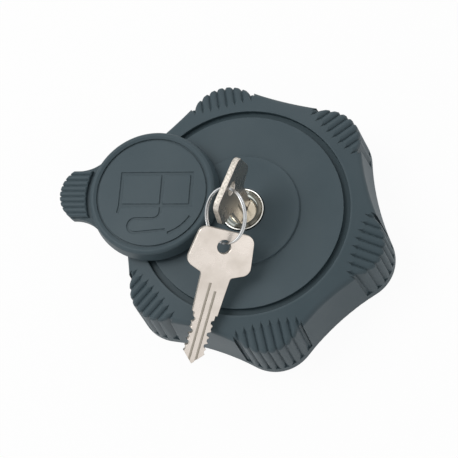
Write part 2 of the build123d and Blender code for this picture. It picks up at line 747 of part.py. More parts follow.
with BuildPart() as dust_flap:
    with BuildSketch(flap_section):
        with BuildLine():
            Polyline(
                (0, flap_bottom),
                (flap_radius - 0.3, flap_bottom),
                (flap_radius, flap_bottom + 0.7),
                (flap_radius - 0.7, flap_face_height - 1.0),
            )
            ThreePointArc(
                (flap_radius - 0.7, flap_face_height - 1.0),
                (flap_radius - 1.4, flap_bead_height - 0.25),
                (flap_radius - 2.3, flap_bead_height),
            )
            Polyline(
                (flap_radius - 2.3, flap_bead_height),
                (groove_end, flap_face_height + 0.1),
                (groove_end, flap_face_height - face_groove_depth),
                (face_radius, flap_face_height - face_groove_depth),
                (face_radius, flap_face_height),
                (0, flap_face_height),
                (0, flap_bottom),
            )
        make_face()
    revolve(axis=flap_axis)
    # Web of the tab, blended into the round flap
    with BuildSketch(flap_plane.offset(flap_bottom)) as tab_web:
        Circle(flap_radius - 0.5)
        with Locations((tab_end_centre / 2, 0)):
            Rectangle(tab_end_centre, 2 * tab_half_width)
        with Locations((tab_end_centre, 0)):
            Circle(tab_end_radius)
            Rectangle(4 * tab_reach, 2 * tab_half_width, mode=Mode.INTERSECT)
        Circle(flap_radius - 0.5)
        notches = tab_web.vertices().filter_by(
            lambda v: abs(math.hypot(v.X, v.Y) - flap_radius + 0.5) < 0.01 and v.X > 0
        )
        fillet(notches, tab_blend)
    extrude(amount=tab_web_height - flap_bottom)
    # Ribbed thumb block on the web
    with BuildSketch(flap_plane.offset(flap_bottom)) as tab_block:
        with Locations((tab_end_centre, 0)):
            Circle(tab_end_radius)
        Rectangle(4 * tab_reach, 2 * tab_half_width - 0.8, mode=Mode.INTERSECT)
        Circle(tab_block_start, mode=Mode.SUBTRACT)
    extrude(amount=tab_block_height - flap_bottom)
    level_faces = dust_flap.faces().filter_by(Axis.Z).filter_by(
        lambda f: abs(f.center().Z - hood_height - tab_block_height) < 0.01
    )
    block_top = level_faces.sort_by(Axis((*flap_centre, 0), (*flap_out, 0)))[-1]
    fillet(block_top.edges(), 0.8)
    for j in range(tab_groove_count):
        side = (j - (tab_groove_count - 1) / 2) * tab_groove_pitch
        end = tab_end_centre + math.sqrt(tab_end_radius**2 - side**2)
        groove_plane = Plane(
            origin=flap_plane.from_local_coords((0, side, 0)),
            x_dir=(*flap_out, 0),
            z_dir=(flap_out[1], -flap_out[0], 0),
        )
        size = (tab_groove_pitch, tab_groove_depth, tab_groove_land)
        inner_end = (tab_block_start - 1, tab_block_height)
        outer_end = (end + 2, tab_block_height)
        groove_top = (end, tab_block_height + 2)
        groove_foot = (end, flap_bottom - 1)
        end_tilt = -side / (end - tab_end_centre)
        add(rib_cutter(groove_plane, (inner_end, outer_end), *size, 0), mode=Mode.SUBTRACT)
        add(
            rib_cutter(groove_plane, (groove_top, groove_foot), *size, end_tilt),
            mode=Mode.SUBTRACT,
        )
    # Hollow underside and the pivot boss inside it
    with BuildSketch(flap_plane.offset(flap_bottom)):
        Circle(cavity_radius)
    extrude(amount=cavity_height - flap_bottom, mode=Mode.SUBTRACT)
    with BuildSketch(flap_plane.offset(disc_height + pivot_float)):
        with Locations((-pivot_circle, 0)):
            Circle(pivot_boss_radius)
    extrude(amount=flap_face_height - 0.5 - disc_height)
    with BuildSketch(flap_plane.offset(disc_height)):
        with Locations((-pivot_circle, 0)):
            Circle(pivot_thread_radius + thread_clearance)
    extrude(amount=cavity_height - disc_height - 0.1, mode=Mode.SUBTRACT)
    # Engraved fuel-pump figure
    with BuildSketch(flap_plane.offset(flap_face_height)):
        with Locations(figure_body_place):
            Rectangle(figure_body_length, figure_body_width)
            Rectangle(
                figure_body_length - 2 * figure_line,
                figure_body_width - 2 * figure_line,
                mode=Mode.SUBTRACT,
            )
        with Locations((figure_divider, figure_body_place[1])):
            Rectangle(figure_line, figure_body_width)
        with BuildLine(mode=Mode.PRIVATE) as hose:
            FilletPolyline(
                (figure_divider, 5.2),
                (figure_divider, 9.7),
                (7.6, 9.7),
                (7.6, 15.2),
                (-6.1, 13.8),
                radius=2.6,
            )
        trace(hose.line, line_width=hose_line)
        with BuildLine(mode=Mode.PRIVATE) as nozzle:
            ThreePointArc((-7.0, 15.0), (-11.4, 12.6), (-14.7, 8.8))
        trace(nozzle.line, line_width=hose_line)
        with BuildLine(mode=Mode.PRIVATE) as foot:
            Polyline((11.5, 5.0), (11.9, 7.6))
        trace(foot.line, line_width=hose_line)
    extrude(amount=-figure_depth, mode=Mode.SUBTRACT)

washer_bottom = cavity_top - washer_height - pivot_float
head_top = washer_bottom - pivot_float

with BuildPart() as flap_pivot_screw:
    with BuildSketch(Plane.XY.offset(head_top)):
        with Locations(pivot_point):
            Circle(pivot_head_radius)
    extrude(amount=-pivot_head_height)
    with BuildSketch(Plane.XY.offset(head_top)):
        with Locations(pivot_point):
            Circle(pivot_shank_radius)
    extrude(amount=disc_top - head_top)
    with BuildSketch(Plane.XY.offset(disc_top)):
        with Locations(pivot_point):
            Circle(pivot_thread_radius)
    extrude(amount=cavity_height - disc_height - 0.4)
    with BuildSketch(Plane.XY.offset(head_top - pivot_head_height)):
        with Locations(pivot_point):
            RegularPolygon(1.5, 6)
    extrude(amount=1.2, mode=Mode.SUBTRACT)

with BuildPart() as flap_spring_washer:
    inner = pivot_shank_radius + 0.2
    washer_section = Plane(
        origin=(*pivot_point, washer_bottom), x_dir=(1, 0, 0), z_dir=(0, -1, 0)
    )
    with BuildSketch(washer_section):
        with BuildLine():
            Polyline(
                (inner, washer_height - washer_thickness),
                (pivot_head_radius, 0),
                (pivot_head_radius, washer_thickness),
                (inner, washer_height),
                close=True,
            )
        make_face()
    revolve(axis=Axis((*pivot_point, 0), (0, 0, 1)))


# Key: drawn flat, with its origin at the middle of its hole and the blade along -Y
with BuildPart() as key_form:
    with BuildSketch() as key_outline:
        with BuildLine():
            Polyline(
                (0, key_top),
                (key_bow_top_half, key_top),
                (key_bow_half, key_bow_bottom),
                (key_neck_half, key_neck_top),
                (key_step_half, key_step),
                (key_blade_half, key_step),
                (key_blade_half, key_blade_end),
                (0, key_tip),
                close=True,
            )
        make_face()
        for i, depth in enumerate(key_cuts):
            level = key_step - 2.6 - i * wafer_pitch
            with BuildLine():
                Polyline(
                    (key_blade_half + 1, level + key_cut_width / 2 + 0.5),
                    (key_blade_half - depth, level + key_cut_width / 4),
                    (key_blade_half - depth, level - key_cut_width / 4),
                    (key_blade_half + 1, level - key_cut_width / 2 - 0.5),
                    close=True,
                )
            make_face(mode=Mode.SUBTRACT)
        mirror(about=Plane.YZ)
        bow_corners = key_outline.vertices().filter_by(
            lambda v: abs(v.X) > key_neck_half + 1
        )
        fillet(bow_corners, key_corner)
        neck_corners = key_outline.vertices().filter_by(
            lambda v: abs(v.Y - key_neck_top) < 0.01
        )
        fillet(neck_corners, 1.2)
        Circle(key_hole_radius, mode=Mode.SUBTRACT)
    extrude(amount=key_thickness / 2, both=True)
    for face in (1, -1):
        for across, groove_start in key_groove_starts:
            groove_length = groove_start - key_tip + 1
            with BuildSketch(Plane.XY.offset(face * key_thickness / 2)):
                with Locations((across, groove_start - groove_length / 2)):
                    Rectangle(key_groove_width, groove_length)
            extrude(amount=-face * key_groove_depth, mode=Mode.SUBTRACT)

key_plane = Plane(
    origin=(0, 0, key_hole_height),
    x_dir=(*polar(1, lock_turn), 0),
    z_dir=(*polar(1, lock_turn - 90), 0),
)
with BuildPart() as key_in_lock:
    with Locations(key_plane.location):
        add(key_form.part)

# The ring hangs through the hole of the key in the lock and leans to one side
ring_lean = math.atan2(
    math.cos(math.radians(ring_normal_tilt))
    * math.cos(math.radians(ring_side_azimuth - ring_normal_azimuth)),
    math.sin(math.radians(ring_normal_tilt)),
)
ring_hang = Vector(0, 0, key_hole_height - ring_seat)
ring_side = Vector(
    *polar(math.cos(ring_lean), ring_side_azimuth), -math.sin(ring_lean)
)
ring_normal = Vector(
    *polar(math.cos(math.radians(ring_normal_tilt)), ring_normal_azimuth),
    math.sin(math.radians(ring_normal_tilt)),
)
ring_centre = ring_hang + ring_side * ring_radius
ring_plane = Plane(origin=ring_centre, x_dir=-ring_side, z_dir=ring_normal)
ring_section = Plane(
    origin=ring_centre, x_dir=-ring_side, z_dir=ring_plane.y_dir * -1
)
with BuildPart() as key_ring:
    with BuildSketch(ring_section):
        with Locations((ring_radius, ring_turn_offset), (ring_radius, -ring_turn_offset)):
            Circle(ring_wire_radius)
    revolve(axis=Axis(ring_centre, ring_normal))

# The spare key hangs on the far side of the ring, over the shoulder of the hood
spare_angle = math.radians(ring_spare_angle)
spare_hang = (
    ring_centre
    + ring_plane.x_dir * (ring_radius * math.cos(spare_angle))
    + ring_plane.y_dir * (ring_radius * math.sin(spare_angle))
)
pitch = math.radians(spare_pitch)
roll = math.radians(spare_roll)
blade_dir = Vector(*polar(math.cos(pitch), spare_azimuth), -math.sin(pitch))
level_side = Vector(*polar(1, spare_azimuth + 90), 0)
flat_normal = level_side.cross(blade_dir) * -1
spare_side = level_side * math.cos(roll) - flat_normal * math.sin(roll)
spare_normal = flat_normal * math.cos(roll) + level_side * math.sin(roll)
spare_plane = Plane(
    origin=spare_hang + blade_dir * spare_hole_offset,
    x_dir=spare_side,
    z_dir=spare_normal,
)
with BuildPart() as spare_key:
    with Locations(spare_plane.location):
        add(key_form.part)

pieces = {
    "hood": hood,
    "dust_flap": dust_flap,
    "flap_pivot_screw": flap_pivot_screw,
    "flap_spring_washer": flap_spring_washer,
    "lock_bezel": lock_bezel,
    "lock_housing": lock_housing,
    "lock_o_ring": lock_o_ring,
    "lock_retaining_clip": lock_retaining_clip,
    "lock_plug": lock_plug,
    "wafer_tumblers": wafer_tumblers,
    "lock_cam": lock_cam,
    "cam_e_clip": cam_e_clip,
    "lock_bolt": lock_bolt,
    "closure_body": closure_body,
    "neck_gasket": neck_gasket,
    "closure_screws": closure_screws,
    "valve_seal": valve_seal,
    "valve_disc": valve_disc,
    "valve_spring": valve_spring,
    "valve_cap": valve_cap,
    "key_in_lock": key_in_lock,
    "key_ring": key_ring,
    "spare_key": spare_key,
}
for name, piece in pieces.items():
    piece.part.label = name
    export_step(piece.part, f"parts/{name}.step")
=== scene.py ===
import math

import bpy
from mathutils import Matrix, Vector


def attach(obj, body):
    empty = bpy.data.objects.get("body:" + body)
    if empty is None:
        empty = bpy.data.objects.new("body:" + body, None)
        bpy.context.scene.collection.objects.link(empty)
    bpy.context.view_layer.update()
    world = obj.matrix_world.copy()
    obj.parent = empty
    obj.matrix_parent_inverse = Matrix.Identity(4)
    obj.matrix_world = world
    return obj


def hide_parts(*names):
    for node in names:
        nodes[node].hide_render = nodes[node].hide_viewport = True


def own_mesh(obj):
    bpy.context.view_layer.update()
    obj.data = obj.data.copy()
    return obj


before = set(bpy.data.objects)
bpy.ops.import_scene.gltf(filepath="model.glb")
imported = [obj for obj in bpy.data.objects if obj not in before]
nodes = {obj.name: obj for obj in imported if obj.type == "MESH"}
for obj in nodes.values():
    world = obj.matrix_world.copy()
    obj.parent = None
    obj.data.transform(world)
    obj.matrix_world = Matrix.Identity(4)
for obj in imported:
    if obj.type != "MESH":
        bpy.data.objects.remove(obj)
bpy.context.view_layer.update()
print("stage: frame loaded")


# camera, as the photograph was taken
cameraSettings = {
    "place": (-0.031703, -0.155063, 0.413227),
    "right": (0.74505, -0.63426, -0.20645),
    "up": (0.66457, 0.67942, 0.31103),
    "back": (-0.05701, -0.36893, 0.92771),
    "lens": 93.018, "sensor": 36, "nearest": 0.01, "farthest": 10,
}
viewRight = Vector(cameraSettings["right"])
viewUp = Vector(cameraSettings["up"])
viewBack = Vector(cameraSettings["back"])


def makeCamera(settings):
    data = bpy.data.cameras.new("capCamera")
    data.lens = settings["lens"]
    data.sensor_width = settings["sensor"]
    data.clip_start = settings["nearest"]
    data.clip_end = settings["farthest"]
    camera = bpy.data.objects.new("capCamera", data)
    bpy.context.collection.objects.link(camera)
    turn = Matrix((viewRight, viewUp, viewBack)).transposed().to_4x4()
    camera.matrix_world = Matrix.Translation(settings["place"]) @ turn
    bpy.context.scene.camera = camera


makeCamera(cameraSettings)


# soft boxes; toward is how far each stands right, up and back in the picture
lightAim = Vector((0, 0, 0.02))
lightSettings = {
    "keyBox": {"toward": (-0.85, 0.5, 0.9), "reach": 0.75, "size": 0.5, "power": 2.45},
    "fillBox": {"toward": (0.9, -0.2, 0.8), "reach": 0.9, "size": 0.8, "power": 0.7},
    "leftBox": {"toward": (-1.0, -0.7, 0.35), "reach": 0.9, "size": 0.6, "power": 0.9},
    "rearBox": {"toward": (0.1, 1.1, 0.25), "reach": 0.9, "size": 0.6, "power": 1.0},
}


def makeLights(settings):
    for name, box in settings.items():
        data = bpy.data.lights.new(name, "AREA")
        data.shape = "DISK"
        data.size = box["size"]
        data.energy = box["power"]
        lamp = bpy.data.objects.new(name, data)
        bpy.context.collection.objects.link(lamp)
        side, rise, front = box["toward"]
        away = viewRight * side + viewUp * rise + viewBack * front
        away.normalize()
        lamp.location = lightAim + away * box["reach"]
        lamp.rotation_euler = away.to_track_quat("Z", "Y").to_euler()


makeLights(lightSettings)


# helpers for node trees: a value is a number, a colour or the socket that it comes from
def feed(tree, node, values):
    for name, value in values.items():
        if isinstance(value, bpy.types.NodeSocket):
            tree.links.new(value, node.inputs[name])
        else:
            node.inputs[name].default_value = value


def addNode(tree, kind, values=None, **settings):
    node = tree.nodes.new(kind)
    for name, value in settings.items():
        setattr(node, name, value)
    feed(tree, node, values or {})
    return node


def calculate(tree, operation, *terms, **settings):
    values = dict(enumerate(terms))
    node = addNode(tree, "ShaderNodeMath", values, operation=operation, **settings)
    return node.outputs[0]


def mapRange(tree, value, start, end, low=0.0, high=1.0, **settings):
    values = {"Value": value, "From Min": start, "From Max": end, "To Min": low, "To Max": high}
    return addNode(tree, "ShaderNodeMapRange", values, **settings).outputs["Result"]


def addNoise(tree, place, scale, detail, rough=0.5, warp=0.0):
    values = {
        "Vector": place, "Scale": scale, "Detail": detail, "Roughness": rough, "Distortion": warp,
    }
    return addNode(tree, "ShaderNodeTexNoise", values).outputs["Fac"]


def mixColours(tree, mask, under, over):
    under, over = ((*tint, 1) if isinstance(tint, tuple) else tint for tint in (under, over))
    values = {0: mask, 6: under, 7: over}
    return addNode(tree, "ShaderNodeMix", values, data_type="RGBA").outputs[2]


def objectPlace(tree):
    return addNode(tree, "ShaderNodeTexCoord").outputs["Object"]


def distanceFromAxis(tree):
    values = {0: objectPlace(tree), 1: (1, 1, 0)}
    flat = addNode(tree, "ShaderNodeVectorMath", values, operation="MULTIPLY")
    values = {0: flat.outputs["Vector"]}
    return addNode(tree, "ShaderNodeVectorMath", values, operation="LENGTH").outputs["Value"]


def addGroup(tree, group, **values):
    return addNode(tree, "ShaderNodeGroup", values, node_tree=group)


def sourceOf(socket):
    return socket.links[0].from_socket


def seenByEye(tree):
    # what the camera sees, straight or in a shiny face
    path = addNode(tree, "ShaderNodeLightPath")
    seen = calculate(tree, "MAXIMUM", path.outputs["Is Camera Ray"], path.outputs["Is Glossy Ray"])
    return path, seen


worldSettings = {"roomGrey": 0.38, "backdrop": 1.0}


def makeWorld(settings):
    world = bpy.data.worlds.new("studioRoom")
    bpy.context.scene.world = world
    world.use_nodes = True
    tree = world.node_tree
    tree.nodes.clear()
    room, white = (
        addNode(tree, "ShaderNodeBackground", {"Color": (1, 1, 1, 1), "Strength": settings[name]})
        for name in ("roomGrey", "backdrop")
    )
    path, seen = seenByEye(tree)
    clear = calculate(tree, "MAXIMUM", seen, path.outputs["Is Transmission Ray"])
    values = {"Fac": clear, 1: room.outputs[0], 2: white.outputs[0]}
    mix = addNode(tree, "ShaderNodeMixShader", values)
    addNode(tree, "ShaderNodeOutputWorld", {"Surface": mix.outputs[0]})


makeWorld(worldSettings)


# shared effects, each a node group with its own named inputs
# a noise is given by its scale, detail, roughness and warp; a fine one's scale is an input
def startGroup(name, inputs, outputs):
    # an input with no number of its own is a vector
    group = bpy.data.node_groups.new(name, "ShaderNodeTree")
    for label, value in inputs.items():
        kind = "NodeSocketVector" if value is None else "NodeSocketFloat"
        socket = group.interface.new_socket(label, in_out="INPUT", socket_type=kind)
        if value is not None:
            socket.default_value = value
    for label in outputs:
        group.interface.new_socket(label, in_out="OUTPUT", socket_type="NodeSocketFloat")
    start = group.nodes.new("NodeGroupInput")
    end = group.nodes.new("NodeGroupOutput")
    return group, start.outputs, end


# fine leathery grain of a textured mould, with slow patches of sheen and tone
mouldGrainSettings = {
    "size": 2600.0, "pits": 0.6, "fine": (3.0, 0.6),
    "patches": 45.0, "patch": (4.0, 0.55), "tone": (0.3, 0.7),
    "handled": (16.0, 2.0), "sheen": (0.35, 0.65),
}


def makeMouldGrain(look):
    inputs = {"Size": look["size"], "Patch": look["patches"]}
    group, start, end = startGroup("mouldGrain", inputs, ("Height", "Tone", "Sheen"))
    place = objectPlace(group)
    grain = addNoise(group, place, start["Size"], *look["fine"])
    pits = addNode(group, "ShaderNodeTexVoronoi", {"Vector": place, "Scale": start["Size"]})
    patch = addNoise(group, place, start["Patch"], *look["patch"])
    handled = addNoise(group, place, *look["handled"])
    feed(group, end, {
        "Height": calculate(group, "MULTIPLY_ADD", pits.outputs["Distance"], look["pits"], grain),
        "Tone": mapRange(group, patch, *look["tone"]),
        "Sheen": mapRange(group, handled, *look["sheen"]),
    })
    return group


# pale rubbed line where two faces meet, broken up by noise; it is part wear and part painted
# highlight along the rounded edges
edgeWearAndHighlightSettings = {
    "width": 0.0005, "amount": 0.5, "samples": 4,
    "meeting": (0.995, 0.8), "broken": (700.0, 5.0), "gaps": (0.42, 0.62),
}


def makeEdgeWearAndHighlight(look):
    inputs = {"Width": look["width"], "Amount": look["amount"]}
    group, start, end = startGroup("edgeWearAndHighlight", inputs, ("Mask",))
    soft = addNode(group, "ShaderNodeBevel", {"Radius": start["Width"]}, samples=look["samples"])
    flat = addNode(group, "ShaderNodeNewGeometry")
    values = {0: soft.outputs["Normal"], 1: flat.outputs["Normal"]}
    same = addNode(group, "ShaderNodeVectorMath", values, operation="DOT_PRODUCT")
    edge = mapRange(group, same.outputs["Value"], *look["meeting"])
    gate = mapRange(group, addNoise(group, objectPlace(group), *look["broken"]), *look["gaps"])
    wearAndHighlight = calculate(group, "MULTIPLY", edge, gate)
    feed(group, end, {
        "Mask": calculate(group, "MULTIPLY", wearAndHighlight, start["Amount"], use_clamp=True),
    })
    return group


# drawn grain along one direction, hairline scratches and slow tarnish
metalFinishSettings = {
    "grain": 900.0, "stretch": (1.0, 0.04, 1.0), "fine": (6.0, 0.7), "dull": 0.5,
    "scratches": 0.5, "scratchNoise": (260.0, 2.0, 0.5, 1.6), "line": (0.497, 0.503), "fold": 0.5,
    "slow": (120.0, 5.0, 0.6), "tarnish": (0.4, 0.72),
}


def makeMetalFinish(look):
    inputs = {"Place": None, "Grain": look["grain"], "Scratches": look["scratches"]}
    group, start, end = startGroup("metalFinish", inputs, ("Height", "Dull", "Tarnish"))
    place = start["Place"]
    values = {0: place, 1: look["stretch"]}
    stretch = addNode(group, "ShaderNodeVectorMath", values, operation="MULTIPLY")
    grain = addNoise(group, stretch.outputs["Vector"], start["Grain"], *look["fine"])
    line = mapRange(group, addNoise(group, place, *look["scratchNoise"]), *look["line"])
    ridge = calculate(group, "PINGPONG", line, look["fold"])
    scratch = calculate(group, "MULTIPLY", ridge, start["Scratches"])
    tarnish = mapRange(group, addNoise(group, place, *look["slow"]), *look["tarnish"])
    feed(group, end, {
        "Height": calculate(group, "SUBTRACT", grain, scratch),
        "Dull": calculate(group, "MULTIPLY_ADD", grain, look["dull"], tarnish),
        "Tarnish": tarnish,
    })
    return group


# a band between two radii round the cap's axis, and below a given height
turnedBandSettings = {"Inner": 0.01, "Outer": 0.02, "Fade": 0.0003, "Below": 1.0}


def makeTurnedBand(inputs):
    group, start, end = startGroup("turnedBand", inputs, ("Mask",))
    values = {"Vector": objectPlace(group)}
    height = addNode(group, "ShaderNodeSeparateXYZ", values).outputs["Z"]
    radius = distanceFromAxis(group)
    innerEnd = calculate(group, "ADD", start["Inner"], start["Fade"])
    outerEnd = calculate(group, "SUBTRACT", start["Outer"], start["Fade"])
    rise, fall = (
        mapRange(group, radius, first, last, interpolation_type="SMOOTHSTEP")
        for first, last in ((start["Inner"], innerEnd), (start["Outer"], outerEnd))
    )
    ring = calculate(group, "MULTIPLY", rise, fall)
    under = calculate(group, "LESS_THAN", height, start["Below"])
    feed(group, end, {"Mask": calculate(group, "MULTIPLY", ring, under)})
    return group


mouldGrain = makeMouldGrain(mouldGrainSettings)
edgeWearAndHighlight = makeEdgeWearAndHighlight(edgeWearAndHighlightSettings)
metalFinish = makeMetalFinish(metalFinishSettings)
turnedBand = makeTurnedBand(turnedBandSettings)
print("stage: shared effects built")


def startMaterial(name):
    material = bpy.data.materials.new(name)
    material.use_nodes = True
    return material, material.node_tree, material.node_tree.nodes["Principled BSDF"]


edgeSamples = 6


def grainedNormal(tree, look, height, depth):
    # rounded edges, with the grain on top
    soft = addNode(tree, "ShaderNodeBevel", {"Radius": look["round"]}, samples=edgeSamples)
    values = {
        "Strength": look["bump"], "Distance": depth,
        "Height": height, "Normal": soft.outputs["Normal"],
    }
    return addNode(tree, "ShaderNodeBump", values).outputs["Normal"]


plasticSettings = {
    "hoodPlastic": {
        "dark": (0.048, 0.073, 0.086), "light": (0.060, 0.086, 0.099), "wearAndHighlight": (0.11, 0.15, 0.17),
        "rough": (0.46, 0.58), "shine": 0.26, "bump": 0.10, "grain": 2600.0,
        "round": 0.00042, "wear": 0.55,
    },
    "closurePlastic": {
        "dark": (0.020, 0.021, 0.023), "light": (0.034, 0.035, 0.037), "wearAndHighlight": (0.11, 0.11, 0.11),
        "rough": (0.38, 0.55), "shine": 0.45, "bump": 0.04, "grain": 1500.0,
        "round": 0.0003, "wear": 0.3,
    },
    "sealRubber": {
        "dark": (0.014, 0.014, 0.015), "light": (0.028, 0.028, 0.028), "wearAndHighlight": (0.09, 0.085, 0.08),
        "rough": (0.62, 0.80), "shine": 0.3, "bump": 0.06, "grain": 1900.0,
        "round": 0.0004, "wear": 0.5,
    },
}
plasticDepth = 0.0002
wearReach = 1.4  # the rubbed line's width over the edge's radius


def makePlastic(name, look):
    material, tree, shader = startMaterial(name)
    grain = addGroup(tree, mouldGrain, Size=look["grain"]).outputs
    # the pale edge line is part wear, part painted highlight, strongest on the hood and flap
    wear = addGroup(tree, edgeWearAndHighlight, Width=look["round"] * wearReach, Amount=look["wear"]).outputs
    base = mixColours(tree, grain["Tone"], look["dark"], look["light"])
    feed(tree, shader, {
        "Base Color": mixColours(tree, wear["Mask"], base, look["wearAndHighlight"]),
        "Roughness": mapRange(tree, grain["Sheen"], 0.0, 1.0, *look["rough"]),
        "Specular IOR Level": look["shine"],
        "Normal": grainedNormal(tree, look, grain["Height"], plasticDepth),
    })
    return material


metalSettings = {
    "lockMetal": {
        "clean": (0.74, 0.72, 0.68), "tarnished": (0.52, 0.50, 0.46), "rough": (0.22, 0.42),
        "bump": 0.08, "grain": 900.0, "scratches": 0.6, "round": 0.0002, "turn": (0, 0, 0.46),
    },
    "keyNickel": {
        "clean": (0.70, 0.64, 0.585), "tarnished": (0.58, 0.525, 0.47), "rough": (0.22, 0.38),
        "bump": 0.06, "grain": 800.0, "scratches": 0.7, "round": 0.00025, "turn": (1.5708, 0, 0),
    },
    "plugNickel": {
        "clean": (0.98, 0.93, 0.80), "tarnished": (0.90, 0.84, 0.68), "rough": (0.16, 0.28),
        "bump": 0.08, "grain": 900.0, "scratches": 0.6, "round": 0.0002, "turn": (0, 0, 0.46),
        "metallic": 0.8,
    },
    "waferBrass": {
        "clean": (0.80, 0.60, 0.28), "tarnished": (0.55, 0.38, 0.16), "rough": (0.22, 0.40),
        "bump": 0.05, "grain": 900.0, "scratches": 0.5, "round": 0.0001, "turn": (0, 0, 0.46),
    },
    "zincSteel": {
        "clean": (0.60, 0.61, 0.61), "tarnished": (0.38, 0.39, 0.40), "rough": (0.16, 0.32),
        "bump": 0.05, "grain": 1100.0, "scratches": 0.5, "round": 0.00015, "turn": (0.9, 0.2, 0),
    },
}
metalDepth = 0.0001
dullest = 1.4  # the value of Dull at which a metal is at its roughest


def makeMetal(name, look):
    material, tree, shader = startMaterial(name)
    values = {"Vector": objectPlace(tree), "Rotation": look["turn"]}
    along = addNode(tree, "ShaderNodeMapping", values).outputs["Vector"]
    finish = addGroup(
        tree, metalFinish, Place=along, Grain=look["grain"], Scratches=look["scratches"]
    ).outputs
    feed(tree, shader, {
        "Base Color": mixColours(tree, finish["Tarnish"], look["clean"], look["tarnished"]),
        "Metallic": look.get("metallic", 1.0),
        "Roughness": mapRange(tree, finish["Dull"], 0.0, dullest, *look["rough"]),
        "Normal": grainedNormal(tree, look, finish["Height"], metalDepth),
    })
    return material


finishes = {name: makePlastic(name, look) for name, look in plasticSettings.items()}
finishes.update({name: makeMetal(name, look) for name, look in metalSettings.items()})

# shade is painted into the hood's round groove, and the raised disc swells a little round the lock
hoodFaceSettings = {
    "groove": {"Inner": 0.0354, "Outer": 0.0382, "Fade": 0.0002, "Below": 0.0274},
    "grooveShade": (0.034, 0.058, 0.069),
    "dome": {"top": 0.008, "foot": 0.0196, "drop": 0.0019},
}


def makeHoodFace(settings):
    material = makePlastic("hoodFace", plasticSettings["hoodPlastic"])
    tree = material.node_tree
    shader = tree.nodes["Principled BSDF"]
    # painted shade: the round groove is painted darker, as if deep in shade
    band = addGroup(tree, turnedBand, **settings["groove"]).outputs["Mask"]
    shadedGroove = mixColours(tree, band, sourceOf(shader.inputs["Base Color"]), settings["grooveShade"])
    dome = settings["dome"]
    grainBump = shader.inputs["Normal"].links[0].from_node
    swell = addNode(tree, "ShaderNodeBump", {
        "Strength": 1.0,
        "Distance": dome["drop"],
        "Height": mapRange(
            tree, distanceFromAxis(tree), dome["foot"], dome["top"],
            interpolation_type="SMOOTHSTEP",
        ),
        "Normal": sourceOf(grainBump.inputs["Normal"]),
    })
    feed(tree, grainBump, {"Normal": swell.outputs["Normal"]})
    feed(tree, shader, {"Base Color": shadedGroove})
    return material


finishes["hoodFace"] = makeHoodFace(hoodFaceSettings)

# the lock's facing: a bright lip round a polished dish, with shade painted into the dish, darkest
# next to the plug
facingSettings = {
    "look": {
        "clean": (0.86, 0.86, 0.83), "tarnished": (0.66, 0.66, 0.62), "rough": (0.10, 0.24),
        "bump": 0.03, "grain": 700.0, "scratches": 0.4, "round": 0.00015, "turn": (0, 0, 0),
    },
    "dish": {"Inner": -0.001, "Outer": 0.0070, "Fade": 0.0003},
    # painted shade in the dish: darkest next to the plug, paler towards the lip
    "centre": (0.05, 0.055, 0.048), "rim": (0.35, 0.37, 0.35), "shadeFade": (0.0048, 0.0070),
}


def makeFacing(settings):
    material = makeMetal("lockFacing", settings["look"])
    tree = material.node_tree
    shader = tree.nodes["Principled BSDF"]
    band = addGroup(tree, turnedBand, **settings["dish"]).outputs["Mask"]
    spread = mapRange(tree, distanceFromAxis(tree), *settings["shadeFade"])
    shade = mixColours(tree, spread, settings["centre"], settings["rim"])
    bright = sourceOf(shader.inputs["Base Color"])
    feed(tree, shader, {"Base Color": mixColours(tree, band, bright, shade)})
    return material


finishes["lockFacing"] = makeFacing(facingSettings)

nodesOf = {
    "hoodFace": ("hood",),
    "hoodPlastic": ("dust_flap",),
    "closurePlastic": ("closure_body", "valve_disc", "valve_cap"),
    "sealRubber": ("neck_gasket", "lock_o_ring", "valve_seal"),
    "lockFacing": ("lock_bezel",),
    "lockMetal": ("lock_housing", "lock_cam", "lock_bolt"),
    "plugNickel": ("lock_plug",),
    "keyNickel": ("key_in_lock", "spare_key"),
    "waferBrass": ("wafer_tumblers",),
    "zincSteel": (
        "flap_pivot_screw", "flap_spring_washer", "lock_retaining_clip", "cam_e_clip",
        "closure_screws", "valve_spring", "key_ring",
    ),
}
for finishName, nodeNames in nodesOf.items():
    for nodeName in nodeNames:
        for slot in nodes[nodeName].material_slots:
            slot.material = finishes[finishName]
print("stage: materials set")


# helpers for pieces
def chooseOnly(piece):
    bpy.ops.object.select_all(action="DESELECT")
    piece.select_set(True)
    bpy.context.view_layer.objects.active = piece


def applyAll(piece):
    chooseOnly(piece)
    for modifier in list(piece.modifiers):
        bpy.ops.object.modifier_apply(modifier=modifier.name)


def smoothBelow(degrees):
    bpy.ops.object.shade_smooth_by_angle(angle=math.radians(degrees))


def mergedCopy(name, nodeName, merge, flat=None):
    # with flat, in degrees, faces that lie that flat to each other are joined too
    piece = bpy.data.objects.new(name, nodes[nodeName].data.copy())
    bpy.context.collection.objects.link(piece)
    chooseOnly(piece)
    bpy.ops.object.mode_set(mode="EDIT")
    bpy.ops.mesh.select_all(action="SELECT")
    bpy.ops.mesh.remove_doubles(threshold=merge)
    if flat:
        bpy.ops.mesh.dissolve_limited(angle_limit=math.radians(flat))
    bpy.ops.object.mode_set(mode="OBJECT")
    return piece


def dress(piece, material):
    piece.data.materials.clear()
    piece.data.materials.append(material)


# keys: the same outlines, with the edges of bow and blade tumbled smooth
softKeySettings = {
    "spareKeyBlank": {
        "node": "spare_key", "body": "spare", "hole": (-0.0142012, -0.0106703, 0.0414787),
        "blade": (-0.826127, -0.420933, -0.374607), "side": (0.563021, -0.643577, -0.518475),
    },
    "lockKeyBlank": {
        "node": "key_in_lock", "body": "key", "hole": (0, 0, 0.05095),
        "blade": (0, 0, -1), "side": (0.895712, 0.444635, 0),
    },
}
# lengths from the hole: the shoulder, and where the milled lines start
keyWear = {
    "merge": 0.000002, "flat": 1, "sharp": 32, "smooth": 35, "round": 0.0003, "steps": 3,
    "shoulder": 0.0228, "bladeShare": 0.3, "cutShare": 0.75, "throughCut": 0.95,
    "lineStart": 0.0115, "lineHalf": 0.0022, "lineShare": 0.2,
}
